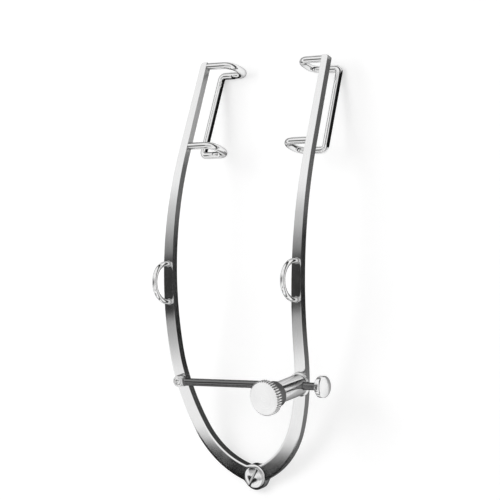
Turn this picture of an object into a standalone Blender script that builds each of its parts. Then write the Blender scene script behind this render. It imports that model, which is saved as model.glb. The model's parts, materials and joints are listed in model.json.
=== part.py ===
"""A self-retaining eye speculum of polished steel, with two pivoted arms.

Each arm is a flat bar whose eye laps over the other one at a slotted pivot screw. It curves out
round the brow side, bows over the face, and ends in a bar that a bent wire completes to a lid
blade. A round rod is riveted to the left arm, runs through a swivelling post on the right arm and
is clamped there by a thumb screw. A half ring on each arm takes a fingertip.

The arms are laid out flat first: x is the width, s the length from the pivot towards the blades
and w the height above the middle of the bar. bend() then curves that layout over the bow of the
arms. The flat stretch round the pivot and the clamp stays in the XY plane, so the pivot, the
rod's rivet and the post all turn about parallel Z axes. An empty holds the whole instrument in
the attitude that it takes lying on a table on its pivot and its two blades.
"""

import math

import bmesh
import bpy
from mathutils import Matrix, Vector

MM = 0.001

# Bar of the arms, and its bow over the face
ARM_THICKNESS = 1.5 * MM
ARM_WIDTH_AT_PIVOT = 3.6 * MM
ARM_WIDTH_AT_TIP = 1.6 * MM
ARM_TAPER_POWER = 0.8
ARM_EDGE_ROUND = 0.22 * MM
TIP_CORNER = 0.7 * MM
FLAT_LENGTH = 23.4 * MM
BOW_RADIUS = 83.0 * MM
BOW_ANGLE = math.radians(32.4)

# Centre line of an arm in plan: headings are angles off the length, from the pivot outwards
EYE_LEAD = 3.0 * MM
PIVOT_HEADING = math.radians(67.5)
KNEE_RADIUS = 18.8 * MM
KNEE_HEADING = math.radians(24.0)
SHOULDER_RADIUS = 46.0 * MM
SHOULDER_HEADING = math.radians(2.7)
SHAFT_LENGTH = 42.0 * MM
BLADE_HEADING = math.radians(-1.75)

# Pivot: two half-thickness eyes and a slotted screw
EYE_RADIUS = 2.8 * MM
EYE_NECK = 3.3 * MM
LAP_GAP = 0.06 * MM
LAP_CLEARANCE = 0.2 * MM
PIVOT_SHANK_RADIUS = 1.2 * MM
PIVOT_HEAD_RADIUS = 2.25 * MM
PIVOT_HEAD_HEIGHT = 0.45 * MM
PIVOT_HEAD_DOME = 0.35 * MM
SLOT_WIDTH = 0.6 * MM
SLOT_DEPTH = 0.45 * MM
SLOT_ANGLE = math.radians(54.0)

# Lid blades: a wire bent to two hooks and a back, brazed to the bar
WIRE_RADIUS = 0.75 * MM
BLADE_BOTTOM = 72.0 * MM
BLADE_LENGTH = 18.5 * MM
BLADE_DEPTH = 5.6 * MM
BACK_INSET = 0.45 * MM
HOOK_REACH = 7.35 * MM
HOOK_BEND = 2.3 * MM
BACK_BEND = 0.9 * MM

# Finger half rings
LOOP_STATION = 42.0 * MM
LOOP_LENGTH = 9.1 * MM
LOOP_HEIGHT = 5.1 * MM
LOOP_WIRE_RADIUS = 0.55 * MM
LOOP_FOOT = 0.4 * MM

# Cross rod, its rivet and its knob
RIVET_STATION = 28.1 * MM
POST_STATION = 27.2 * MM
ROD_RADIUS = 0.8 * MM
ROD_HEIGHT = 1.45 * MM
ROD_BEYOND_POST = 7.0 * MM
ROD_EYE_RADIUS = 1.2 * MM
ROD_EYE_THICKNESS = 1.35 * MM
ROD_TONGUE_LENGTH = 2.6 * MM
ROD_CHAMFER = 0.12 * MM
TONGUE_SHARE = 0.93
RIVET_RADIUS = 0.5 * MM
RIVET_HEAD_RADIUS = 0.85 * MM
RIVET_HEAD_HEIGHT = 0.4 * MM
KNOB_RADIUS = 2.3 * MM
KNOB_THICKNESS = 1.3 * MM
KNOB_DOME = 0.35 * MM
KNOB_CHAMFER = 0.2 * MM
KNOB_BORE_DEPTH = 0.8 * MM

# Clamp post
POST_RADIUS = 2.25 * MM
POST_HEIGHT = 8.2 * MM
POST_FOOT_RADIUS = 2.6 * MM
POST_FOOT_HEIGHT = 0.4 * MM
POST_CHAMFER = 0.25 * MM
POST_JOURNAL_RADIUS = 0.75 * MM
POST_TAIL_RADIUS = 1.25 * MM
POST_TAIL_HEIGHT = 0.4 * MM

# Thumb screw
SCREW_RADIUS = 1.0 * MM
COLLAR_RADIUS = 2.75 * MM
COLLAR_THICKNESS = 1.9 * MM
NECK_RADIUS = 2.1 * MM
NECK_LENGTH = 0.85 * MM
THUMB_RADIUS = 3.75 * MM
THUMB_THICKNESS = 1.6 * MM
THUMB_CHAMFER = 0.3 * MM
KNURL_COUNT = 40
KNURL_DEPTH = 0.16 * MM

# Clearances: a running fit in a bore, and the play between pieces that lie face to face
RUNNING_CLEARANCE = 0.08 * MM
SEAT_GAP = 0.05 * MM
BRAZE_GAP = 0.03 * MM

# Facets
ROUND_STEPS = 40
SMALL_ROUND_STEPS = 24
WIRE_BEVEL_RESOLUTION = 4
BEND_STEP = math.radians(15.0)
BOW_STEP = math.radians(2.0)
OUTLINE_STEP = 1.6 * MM
NECK_STEPS = 6
CORNER_STEPS = 4
CUT_MARGIN = 1.0 * MM
MERGE_DISTANCE = 0.0005 * MM

HALF_THICKNESS = ARM_THICKNESS / 2
FACE = HALF_THICKNESS
BLADE_TOP = BLADE_BOTTOM + BLADE_LENGTH
ROD_AXIS = FACE + ROD_HEIGHT
STEEL = (0.80, 0.81, 0.82, 1.0)


def clear_scene():
    for obj in list(bpy.data.objects):
        bpy.data.objects.remove(obj, do_unlink=True)


def new_collection(name):
    collection = bpy.data.collections.new(name)
    bpy.context.scene.collection.children.link(collection)
    return collection


def steel(name, roughness, colour=STEEL):
    material = bpy.data.materials.new(name)
    material.use_nodes = True
    shader = material.node_tree.nodes["Principled BSDF"]
    shader.inputs["Base Color"].default_value = colour
    shader.inputs["Metallic"].default_value = 1.0
    shader.inputs["Roughness"].default_value = roughness
    return material


def add_object(name, data, material, location=(0, 0, 0)):
    """Links a piece of the instrument, with its origin at location in the pivot's frame."""
    obj = bpy.data.objects.new(name, data)
    obj.location = location
    obj.parent = FRAME
    data.materials.append(material)
    PIECES.objects.link(obj)
    return obj


def shade(obj):
    obj.data.shade_smooth()
    obj.data.set_sharp_from_angle(angle=math.radians(35))


def mesh_from(bm, name):
    bmesh.ops.recalc_face_normals(bm, faces=bm.faces)
    mesh = bpy.data.meshes.new(name)
    bm.to_mesh(mesh)
    bm.free()
    return mesh


# Layout of an arm

def centre_line(t):
    """x, s and heading of the arm's centre line at distance t from the pivot."""
    x = 0.0
    s = 0.0
    left = t
    lead = min(left, EYE_LEAD)
    x += lead * math.sin(PIVOT_HEADING)
    s += lead * math.cos(PIVOT_HEADING)
    left -= lead
    heading = PIVOT_HEADING
    bends = (
        (KNEE_RADIUS * (PIVOT_HEADING - KNEE_HEADING), KNEE_HEADING),
        (SHOULDER_RADIUS * (KNEE_HEADING - SHOULDER_HEADING), SHOULDER_HEADING),
        (SHAFT_LENGTH, BLADE_HEADING),
    )
    for length, last_heading in bends:
        if left <= 0:
            return x, s, heading
        run = min(left, length)
        radius = length / (heading - last_heading)
        new_heading = heading - run / radius
        x += radius * (math.cos(new_heading) - math.cos(heading))
        s += radius * (math.sin(heading) - math.sin(new_heading))
        heading = new_heading
        left -= run
    x += left * math.sin(heading)
    s += left * math.cos(heading)
    return x, s, heading


def station_at(s_wanted):
    """Distance along the centre line at which it reaches s_wanted."""
    low, high = 0.0, 2 * s_wanted
    for _ in range(50):
        middle = (low + high) / 2
        if centre_line(middle)[1] < s_wanted:
            low = middle
        else:
            high = middle
    return (low + high) / 2


def arm_width(t):
    share = max(t, 0.0) / TIP_STATION
    return ARM_WIDTH_AT_PIVOT + (ARM_WIDTH_AT_TIP - ARM_WIDTH_AT_PIVOT) * share**ARM_TAPER_POWER


def half_width(t):
    """Half the outline's width: the round eye, eased into the tapering bar."""
    across_eye = math.sqrt(max(EYE_RADIUS**2 - t**2, 0.0))
    if t <= 0:
        return across_eye
    power = 8
    across_bar = arm_width(t) / 2
    return (across_eye**power + across_bar**power) ** (1 / power)


def bend(x, s, w):
    """Places a point of the flat layout in the pivot's frame, on the bow of the arms."""
    angle = min(max((s - FLAT_LENGTH) / BOW_RADIUS, 0.0), BOW_ANGLE)
    past = max(s - FLAT_LENGTH - BOW_RADIUS * BOW_ANGLE, 0.0)
    y = min(s, FLAT_LENGTH) + BOW_RADIUS * math.sin(angle) + past * math.cos(angle)
    z = -BOW_RADIUS * (1 - math.cos(angle)) - past * math.sin(angle)
    return Vector((x, y + w * math.sin(angle), z + w * math.cos(angle)))


def blade_x(s):
    """x of the bar's centre line beside the blade."""
    return centre_line(station_at(s))[0]


# Tools for shapes

def make_cutter(name, bm, location, rotation=Matrix()):
    obj = bpy.data.objects.new(name, mesh_from(bm, name))
    obj.parent = FRAME
    obj.matrix_local = Matrix.Translation(location) @ rotation
    obj.hide_render = True
    obj.display_type = "WIRE"
    CUTTERS.objects.link(obj)
    return obj


def cylinder_cutter(name, radius, length, location, rotation=Matrix(), steps=ROUND_STEPS):
    bm = bmesh.new()
    bmesh.ops.create_cone(
        bm, cap_ends=True, segments=steps, radius1=radius, radius2=radius, depth=length
    )
    return make_cutter(name, bm, location, rotation)


def box_cutter(name, size, location, rotation=Matrix()):
    bm = bmesh.new()
    bmesh.ops.create_cube(bm, size=1.0, matrix=Matrix.Diagonal((*size, 1.0)))
    return make_cutter(name, bm, location, rotation)


def combine(obj, other, operation):
    modifier = obj.modifiers.new(f"{operation.lower()} {other.name}", "BOOLEAN")
    modifier.operation = operation
    modifier.solver = "EXACT"
    modifier.object = other


def turned(name, profile, material, location, steps=ROUND_STEPS):
    """A turned piece: profile holds (radius, height) pairs from the top of the axis to its foot."""
    mesh = bpy.data.meshes.new(name)
    points = [(radius, 0.0, height) for radius, height in profile]
    mesh.from_pydata(points, [(i, i + 1) for i in range(len(points) - 1)], [])
    obj = add_object(name, mesh, material, location)
    screw = obj.modifiers.new("turn", "SCREW")
    screw.steps = steps
    screw.render_steps = steps
    screw.use_merge_vertices = True
    screw.merge_threshold = MERGE_DISTANCE
    screw.use_smooth_shade = True
    return obj


def dome(radius, foot_height, rise, steps=5):
    """Profile points of a shallow dome, from its crown to its rim."""
    ball_radius = (radius**2 + rise**2) / (2 * rise)
    edge = math.asin(radius / ball_radius)
    points = []
    for i in range(steps + 1):
        angle = edge * i / steps
        height = foot_height + rise - ball_radius * (1 - math.cos(angle))
        points.append((ball_radius * math.sin(angle), height))
    return points


def rounded_path(corners, radii):
    """Points along straight runs through corners, each corner turned with its own radius."""
    points = [corners[0]]
    for before, corner, after, radius in zip(corners, corners[1:], corners[2:], radii):
        back = (before - corner).normalized()
        ahead = (after - corner).normalized()
        half = back.angle(ahead) / 2
        setback = radius / math.tan(half)
        centre = corner + (back + ahead).normalized() * (radius / math.sin(half))
        first = corner + back * setback - centre
        last = corner + ahead * setback - centre
        turn = first.angle(last)
        count = max(2, math.ceil(turn / BEND_STEP))
        for i in range(count + 1):
            share = i / count
            weight_first = math.sin((1 - share) * turn) / math.sin(turn)
            weight_last = math.sin(share * turn) / math.sin(turn)
            points.append(centre + first * weight_first + last * weight_last)
    points.append(corners[-1])
    return points


def wire(name, points, radius, material):
    """A round wire along points, which are already in the pivot's frame."""
    curve = bpy.data.curves.new(name, "CURVE")
    curve.dimensions = "3D"
    curve.bevel_depth = radius
    curve.bevel_resolution = WIRE_BEVEL_RESOLUTION
    curve.use_fill_caps = True
    spline = curve.splines.new("POLY")
    spline.points.add(len(points) - 1)
    for spline_point, point in zip(spline.points, points):
        spline_point.co = (*point, 1.0)
    return add_object(name, curve, material)


# Pieces

def arm_stations():
    """Distances along the centre line at which the outline is set out."""
    stations = [-EYE_RADIUS * math.cos(math.radians(step)) for step in range(0, 91, 15)]
    stations += [EYE_NECK * (i + 1) / NECK_STEPS for i in range(NECK_STEPS)]
    knee_end = station_at(FLAT_LENGTH)
    count = round((knee_end - EYE_NECK) / OUTLINE_STEP)
    stations += [EYE_NECK + (knee_end - EYE_NECK) * (i + 1) / count for i in range(count)]
    bow_end = station_at(FLAT_LENGTH + BOW_RADIUS * BOW_ANGLE)
    count = math.ceil(BOW_ANGLE / BOW_STEP)
    stations += [knee_end + (bow_end - knee_end) * (i + 1) / count for i in range(count)]
    for i in range(CORNER_STEPS + 1):
        angle = math.pi / 2 * i / CORNER_STEPS
        stations.append(TIP_STATION - TIP_CORNER * (1 - math.sin(angle)))
    return stations


def corner_cut(t):
    """How far the rounded outer corner of the tip draws the outline in."""
    along = max(t - (TIP_STATION - TIP_CORNER), 0.0)
    return TIP_CORNER - math.sqrt(max(TIP_CORNER**2 - along**2, 0.0))


def make_arm(name, side):
    """One arm: side is -1 for the left arm, whose eye lies in front, and 1 for the right."""
    stations = arm_stations()
    bm = bmesh.new()
    bmesh.ops.create_grid(bm, x_segments=len(stations) - 1, y_segments=2, size=1.0)
    bm.verts.ensure_lookup_table()
    columns = sorted({round(v.co.x, 5) for v in bm.verts})
    for vert in bm.verts:
        t = stations[columns.index(round(vert.co.x, 5))]
        across = round(vert.co.y)
        if t < 0:
            x, s = t * math.sin(PIVOT_HEADING), t * math.cos(PIVOT_HEADING)
            heading = PIVOT_HEADING
        else:
            x, s, heading = centre_line(t)
        inner = half_width(t)
        outer = corner_cut(t) - inner
        reach = outer + (inner - outer) * (1 + across) / 2
        x -= reach * math.cos(heading)
        s += reach * math.sin(heading)
        vert.co = bend(side * x, s, 0.0)
    bmesh.ops.remove_doubles(bm, verts=bm.verts, dist=MERGE_DISTANCE)
    arm = add_object(name, mesh_from(bm, name), STEEL_OF["arm"])
    shade(arm)

    thickness = arm.modifiers.new("thickness", "SOLIDIFY")
    thickness.thickness = ARM_THICKNESS
    thickness.offset = 0.0
    thickness.use_even_offset = True
    edges = arm.modifiers.new("rounded edges", "BEVEL")
    edges.width = ARM_EDGE_ROUND
    edges.segments = 2
    edges.limit_method = "ANGLE"
    edges.angle_limit = math.radians(50)

    depth = HALF_THICKNESS + LAP_GAP / 2 + CUT_MARGIN
    lap_centre = side * (depth / 2 - LAP_GAP / 2)
    lap = cylinder_cutter(
        f"{name}_lap", EYE_RADIUS + LAP_CLEARANCE, depth, Vector((0, 0, lap_centre))
    )
    combine(arm, lap, "DIFFERENCE")
    pin_hole = cylinder_cutter(
        f"{name}_pivot_hole",
        PIVOT_SHANK_RADIUS + RUNNING_CLEARANCE,
        ARM_THICKNESS + 2 * CUT_MARGIN,
        Vector((0, 0, 0)),
    )
    combine(arm, pin_hole, "DIFFERENCE")
    shank = RIVET_RADIUS if side < 0 else POST_JOURNAL_RADIUS
    clamp_hole = cylinder_cutter(
        f"{name}_clamp_hole",
        shank + RUNNING_CLEARANCE,
        ARM_THICKNESS + 2 * CUT_MARGIN,
        clamp_point(side),
        steps=SMALL_ROUND_STEPS,
    )
    combine(arm, clamp_hole, "DIFFERENCE")
    return arm


def clamp_point(side, height=0.0):
    x, s, _ = centre_line(POST_STATION if side > 0 else RIVET_STATION)
    return Vector((side * x, s, height))


def rod_heading():
    """Angle off the X axis at which the rod runs from its rivet to the post."""
    run = clamp_point(1) - clamp_point(-1)
    return math.atan2(run.y, run.x)


def make_blade_wire(name, side):
    """The bent wire of one blade, from the top of the bar round both hooks to its bottom."""
    bar_side = arm_width(TIP_STATION) / 2 + BRAZE_GAP

    def corner(s, inwards, w):
        return Vector((side * (blade_x(s) - inwards), s, w))

    lower_side = arm_width(station_at(BLADE_BOTTOM)) / 2 + BRAZE_GAP
    corners = [
        corner(BLADE_TOP, bar_side, 0.0),
        corner(BLADE_TOP, HOOK_REACH, 0.0),
        corner(BLADE_TOP, HOOK_REACH, -BLADE_DEPTH),
        corner(BLADE_TOP, BACK_INSET, -BLADE_DEPTH),
        corner(BLADE_BOTTOM, BACK_INSET, -BLADE_DEPTH),
        corner(BLADE_BOTTOM, HOOK_REACH, -BLADE_DEPTH),
        corner(BLADE_BOTTOM, HOOK_REACH, 0.0),
        corner(BLADE_BOTTOM, lower_side, 0.0),
    ]
    radii = (HOOK_BEND, HOOK_BEND, BACK_BEND, BACK_BEND, HOOK_BEND, HOOK_BEND)
    flat = rounded_path(corners, radii)
    points = [bend(*point) for point in flat]
    return wire(name, points, WIRE_RADIUS, STEEL_OF["wire"])


def make_finger_loop(name, side):
    """A half ring of wire whose two feet stand on the front face of the arm."""
    middle = station_at(LOOP_STATION)
    half_length = LOOP_LENGTH / 2 - LOOP_WIRE_RADIUS
    foot = FACE + BRAZE_GAP
    spring = foot + LOOP_FOOT
    rise = FACE + LOOP_HEIGHT - LOOP_WIRE_RADIUS - spring
    outline = [(-half_length, foot)]
    count = 16
    for i in range(count + 1):
        angle = math.pi * i / count
        outline.append((-half_length * math.cos(angle), spring + rise * math.sin(angle)))
    outline.append((half_length, foot))
    points = []
    for along, height in outline:
        x, s, _ = centre_line(middle + along)
        points.append(bend(side * x, s, height))
    return wire(name, points, LOOP_WIRE_RADIUS, STEEL_OF["loop"])


def make_pivot_screw():
    """The slotted screw: a domed head on the front eye and a shank down to the rear eye."""
    seat = FACE + SEAT_GAP
    rim = seat + PIVOT_HEAD_HEIGHT
    profile = dome(PIVOT_HEAD_RADIUS, rim, PIVOT_HEAD_DOME)
    profile += [
        (PIVOT_HEAD_RADIUS, seat),
        (PIVOT_SHANK_RADIUS, seat),
        (PIVOT_SHANK_RADIUS, -HALF_THICKNESS),
        (0.0, -HALF_THICKNESS),
    ]
    screw = turned("pivot_screw", profile, STEEL_OF["screw"], (0, 0, 0))
    top = rim + PIVOT_HEAD_DOME
    slot = box_cutter(
        "pivot_screw_slot",
        (2 * (PIVOT_HEAD_RADIUS + CUT_MARGIN), SLOT_WIDTH, SLOT_DEPTH + CUT_MARGIN),
        Vector((0, 0, top + (CUT_MARGIN - SLOT_DEPTH) / 2)),
        Matrix.Rotation(SLOT_ANGLE, 4, "Z"),
    )
    combine(screw, slot, "DIFFERENCE")
    return screw


def make_cross_rod():
    """The round rod, whose left end is forged down to a flat eye on the left arm."""
    start = clamp_point(-1)
    length = (clamp_point(1) - start).length + ROD_BEYOND_POST
    eye_middle = FACE + SEAT_GAP + ROD_EYE_THICKNESS / 2
    along_x = Matrix.Rotation(math.pi / 2, 4, "Y")
    bm = bmesh.new()
    bmesh.ops.create_cone(
        bm,
        cap_ends=True,
        segments=SMALL_ROUND_STEPS,
        radius1=ROD_RADIUS,
        radius2=ROD_RADIUS,
        depth=length,
        matrix=Matrix.Translation((length / 2, 0, 0)) @ along_x,
    )
    for cut in (ROD_EYE_RADIUS, ROD_TONGUE_LENGTH, length - ROD_CHAMFER):
        whole = bm.verts[:] + bm.edges[:] + bm.faces[:]
        bmesh.ops.bisect_plane(bm, geom=whole, plane_co=(cut, 0, 0), plane_no=(1, 0, 0))
    for vert in bm.verts:
        _, across, up = vert.co / ROD_RADIUS
        middle = ROD_AXIS
        if vert.co.x < (ROD_EYE_RADIUS + ROD_TONGUE_LENGTH) / 2:
            middle = eye_middle
            vert.co.y = TONGUE_SHARE * ROD_EYE_RADIUS * math.copysign(abs(across) ** 0.6, across)
            vert.co.z = TONGUE_SHARE * ROD_EYE_THICKNESS / 2 * math.copysign(abs(up) ** 0.6, up)
        elif vert.co.x > length - ROD_CHAMFER / 2:
            vert.co.yz *= 1 - ROD_CHAMFER / ROD_RADIUS
        vert.co.z += middle
    rod = add_object("cross_rod", mesh_from(bm, "cross_rod"), STEEL_OF["rod"], start)
    rod.rotation_euler = (0, 0, rod_heading())
    shade(rod)
    eye = cylinder_cutter(
        "cross_rod_eye",
        ROD_EYE_RADIUS,
        ROD_EYE_THICKNESS,
        start + Vector((0, 0, eye_middle)),
        steps=SMALL_ROUND_STEPS,
    )
    combine(rod, eye, "UNION")
    hole = cylinder_cutter(
        "cross_rod_eye_hole",
        RIVET_RADIUS + RUNNING_CLEARANCE,
        ROD_EYE_THICKNESS + 2 * CUT_MARGIN,
        start + Vector((0, 0, eye_middle)),
        steps=SMALL_ROUND_STEPS,
    )
    combine(rod, hole, "DIFFERENCE")
    return rod


def make_rod_rivet():
    """The rivet that the rod's eye swivels on: a round head, and a tail peened behind the arm."""
    seat = FACE + 2 * SEAT_GAP + ROD_EYE_THICKNESS
    tail_seat = FACE + SEAT_GAP
    head = dome(RIVET_HEAD_RADIUS, seat, RIVET_HEAD_HEIGHT)
    tail = dome(RIVET_HEAD_RADIUS, tail_seat, RIVET_HEAD_HEIGHT)
    profile = head + [(RIVET_RADIUS, seat), (RIVET_RADIUS, -tail_seat)]
    profile += [(radius, -height) for radius, height in reversed(tail)]
    return turned(
        "rod_rivet", profile, STEEL_OF["screw"], clamp_point(-1), steps=SMALL_ROUND_STEPS
    )


def make_rod_knob():
    """The domed knob on the rod's free end, bored to take it."""
    crown = dome(KNOB_RADIUS - KNOB_CHAMFER, KNOB_THICKNESS, KNOB_DOME)
    bore = ROD_RADIUS + RUNNING_CLEARANCE
    profile = crown + [
        (KNOB_RADIUS, KNOB_THICKNESS - KNOB_CHAMFER),
        (KNOB_RADIUS, KNOB_CHAMFER),
        (KNOB_RADIUS - KNOB_CHAMFER, 0.0),
        (bore, 0.0),
        (bore, KNOB_BORE_DEPTH),
        (0.0, KNOB_BORE_DEPTH),
    ]
    reach = ROD_BEYOND_POST - KNOB_BORE_DEPTH + SEAT_GAP
    outwards = (clamp_point(1) - clamp_point(-1)).normalized()
    location = clamp_point(1, ROD_AXIS) + outwards * reach
    knob = turned("rod_knob", profile, STEEL_OF["knob"], location)
    knob.rotation_euler = (0, math.pi / 2, rod_heading())
    return knob


def make_clamp_post():
    """The post that swivels in the right arm, cross-drilled for the rod and bored for its screw."""
    seat = FACE + SEAT_GAP
    top = FACE + POST_HEIGHT
    profile = [
        (0.0, top),
        (POST_RADIUS - POST_CHAMFER, top),
        (POST_RADIUS, top - POST_CHAMFER),
        (POST_RADIUS, seat + POST_FOOT_HEIGHT),
        (POST_FOOT_RADIUS, seat + POST_FOOT_HEIGHT / 2),
        (POST_FOOT_RADIUS, seat),
        (POST_JOURNAL_RADIUS, seat),
        (POST_JOURNAL_RADIUS, -seat),
        (POST_TAIL_RADIUS, -seat),
        (POST_TAIL_RADIUS * 0.8, -seat - POST_TAIL_HEIGHT),
        (0.0, -seat - POST_TAIL_HEIGHT),
    ]
    place = clamp_point(1)
    post = turned("clamp_post", profile, STEEL_OF["post"], place)
    rod_hole = cylinder_cutter(
        "clamp_post_rod_hole",
        ROD_RADIUS + RUNNING_CLEARANCE,
        2 * (POST_FOOT_RADIUS + CUT_MARGIN),
        place + Vector((0, 0, ROD_AXIS)),
        Matrix.Rotation(rod_heading(), 4, "Z") @ Matrix.Rotation(math.pi / 2, 4, "Y"),
        steps=SMALL_ROUND_STEPS,
    )
    combine(post, rod_hole, "DIFFERENCE")
    bore_length = top - ROD_AXIS + CUT_MARGIN
    screw_hole = cylinder_cutter(
        "clamp_post_screw_hole",
        SCREW_RADIUS + RUNNING_CLEARANCE,
        bore_length,
        place + Vector((0, 0, ROD_AXIS + bore_length / 2)),
        steps=SMALL_ROUND_STEPS,
    )
    combine(post, screw_hole, "DIFFERENCE")
    return post


def make_thumb_screw():
    """The clamp screw: a plain tip on the rod, a collar, a neck and a knurled head."""
    tip = ROD_AXIS + ROD_RADIUS + SEAT_GAP
    collar = FACE + POST_HEIGHT + SEAT_GAP
    neck = collar + COLLAR_THICKNESS
    head = neck + NECK_LENGTH
    top = head + THUMB_THICKNESS
    profile = (
        (0.0, top),
        (THUMB_RADIUS - THUMB_CHAMFER, top),
        (THUMB_RADIUS, top - THUMB_CHAMFER),
        (THUMB_RADIUS, head + THUMB_CHAMFER),
        (THUMB_RADIUS - THUMB_CHAMFER, head),
        (NECK_RADIUS, head),
        (NECK_RADIUS, neck),
        (COLLAR_RADIUS - POST_CHAMFER, neck),
        (COLLAR_RADIUS, neck - POST_CHAMFER),
        (COLLAR_RADIUS, collar + POST_CHAMFER),
        (COLLAR_RADIUS - POST_CHAMFER, collar),
        (SCREW_RADIUS, collar),
        (SCREW_RADIUS, tip),
        (0.0, tip),
    )
    bm = bmesh.new()
    verts = [bm.verts.new((radius, 0.0, height)) for radius, height in profile]
    edges = [bm.edges.new(pair) for pair in zip(verts, verts[1:])]
    steps = 2 * KNURL_COUNT
    bmesh.ops.spin(
        bm,
        geom=verts + edges,
        axis=(0, 0, 1),
        cent=(0, 0, 0),
        steps=steps,
        angle=2 * math.pi,
        use_merge=True,
    )
    bmesh.ops.remove_doubles(bm, verts=bm.verts, dist=MERGE_DISTANCE)
    for vert in bm.verts:
        radius = vert.co.xy.length
        step = round(math.atan2(vert.co.y, vert.co.x) / (2 * math.pi) * steps)
        if radius > THUMB_RADIUS - MERGE_DISTANCE and step % 2:
            vert.co.xy *= (radius - KNURL_DEPTH) / radius
    screw = add_object("thumb_screw", mesh_from(bm, "thumb_screw"), STEEL_OF["knurl"], clamp_point(1))
    shade(screw)
    return screw


# Attitude on the table

def resting_tilt():
    """Tilt about X at which the rear eye's rim and the tops of the blade wires are level."""
    rim = Vector((0, ARM_EDGE_ROUND - EYE_RADIUS, ARM_EDGE_ROUND - HALF_THICKNESS))
    tip = bend(0.0, BLADE_TOP, -BLADE_DEPTH)
    span = tip - rim
    level = math.asin((WIRE_RADIUS - ARM_EDGE_ROUND) / span.length)
    return level - math.atan2(span.z, span.y)


def lay_on_table():
    """Turns the frame to rest, with the origin under the middle of the bounding box."""
    FRAME.rotation_euler = (resting_tilt(), 0, 0)
    bpy.context.view_layer.update()
    graph = bpy.context.evaluated_depsgraph_get()
    low = Vector((math.inf, math.inf, math.inf))
    high = -low
    for obj in PIECES.objects:
        if obj.type == "EMPTY":
            continue
        evaluated = obj.evaluated_get(graph)
        mesh = evaluated.to_mesh()
        for vert in mesh.vertices:
            place = evaluated.matrix_world @ vert.co
            low = Vector(map(min, low, place))
            high = Vector(map(max, high, place))
        evaluated.to_mesh_clear()
    middle = (low + high) / 2
    FRAME.location = (-middle.x, -middle.y, -low.z)


clear_scene()
PIECES = new_collection("eye_speculum")
CUTTERS = new_collection("cutters")
CUTTERS.hide_render = True
FRAME = bpy.data.objects.new("speculum_frame", None)
PIECES.objects.link(FRAME)
TIP_STATION = station_at(BLADE_TOP + WIRE_RADIUS)
STEEL_OF = {
    "arm": steel("polished_bar_steel", 0.14),
    "wire": steel("polished_wire_steel", 0.12),
    "loop": steel("finger_loop_steel", 0.12),
    "screw": steel("screw_steel", 0.18),
    "rod": steel("drawn_rod_steel", 0.2),
    "knob": steel("turned_knob_steel", 0.14),
    "post": steel("turned_post_steel", 0.16),
    "knurl": steel("knurled_screw_steel", 0.22),
}
for arm_name, arm_side in (("left", -1), ("right", 1)):
    make_arm(f"{arm_name}_arm", arm_side)
    make_blade_wire(f"{arm_name}_blade_wire", arm_side)
    make_finger_loop(f"{arm_name}_finger_loop", arm_side)
make_pivot_screw()
make_cross_rod()
make_rod_rivet()
make_rod_knob()
make_clamp_post()
make_thumb_screw()
lay_on_table()
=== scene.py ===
"""Looks of the eye speculum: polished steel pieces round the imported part, on a pale table.

Every piece is shaped in the layout of the arms: x is the width, y the length from the pivot
towards the blades and z the height above the middle of the bar. bow() then curves that layout,
and AT_REST turns the result to the attitude in which the part lies on the table.
"""

import json
import math

import bmesh
import bpy
from mathutils import Matrix, Vector
from mathutils.kdtree import KDTree


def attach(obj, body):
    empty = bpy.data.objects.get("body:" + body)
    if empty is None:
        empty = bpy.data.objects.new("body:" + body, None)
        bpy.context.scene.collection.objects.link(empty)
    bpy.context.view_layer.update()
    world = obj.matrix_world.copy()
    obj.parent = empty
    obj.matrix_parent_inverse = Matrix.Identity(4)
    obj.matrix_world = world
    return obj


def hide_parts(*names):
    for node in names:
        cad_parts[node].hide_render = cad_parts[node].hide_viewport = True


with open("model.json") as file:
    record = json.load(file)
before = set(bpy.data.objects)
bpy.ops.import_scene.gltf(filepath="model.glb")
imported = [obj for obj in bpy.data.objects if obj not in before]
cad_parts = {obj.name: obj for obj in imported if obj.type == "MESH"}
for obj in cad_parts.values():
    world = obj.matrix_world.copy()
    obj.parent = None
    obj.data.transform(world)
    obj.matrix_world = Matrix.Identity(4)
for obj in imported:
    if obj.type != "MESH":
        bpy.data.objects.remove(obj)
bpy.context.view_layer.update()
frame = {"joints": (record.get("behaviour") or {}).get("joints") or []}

MM = 0.001

# Bar of the arms, and its bow over the face
ARM_THICKNESS = 1.5 * MM
ARM_WIDTH_AT_PIVOT = 3.6 * MM
ARM_WIDTH_AT_TIP = 1.6 * MM
ARM_TAPER_POWER = 0.8
ARM_EDGE_ROUND = 0.22 * MM
# The next two set which faces are steep enough to take the edges' rougher finish and painted
# shade, and the fade into it
GROUND_SHADE_BELOW = 0.8
GROUND_SHADE_FADE = 0.15
TIP_CORNER = 0.7 * MM
FLAT_LENGTH = 23.4 * MM
BOW_RADIUS = 83.0 * MM
BOW_ANGLE = math.radians(32.4)

# Centre line of an arm in plan: headings are angles off the length, from the pivot outwards
EYE_LEAD = 3.0 * MM
PIVOT_HEADING = math.radians(67.5)
KNEE_RADIUS = 18.8 * MM
KNEE_HEADING = math.radians(24.0)
SHOULDER_RADIUS = 46.0 * MM
SHOULDER_HEADING = math.radians(2.7)
SHAFT_LENGTH = 42.0 * MM
BLADE_HEADING = math.radians(-1.75)

# Pivot
EYE_RADIUS = 2.8 * MM
EYE_BLEND_POWER = 8
LAP_GAP = 0.06 * MM
LAP_CLEARANCE = 0.2 * MM
PIVOT_SHANK_RADIUS = 1.2 * MM
PIVOT_HEAD_RADIUS = 2.25 * MM
PIVOT_HEAD_HEIGHT = 0.45 * MM
PIVOT_HEAD_DOME = 0.35 * MM
SLOT_WIDTH = 0.6 * MM
SLOT_DEPTH = 0.45 * MM
SLOT_ANGLE = math.radians(54.0)

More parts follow.
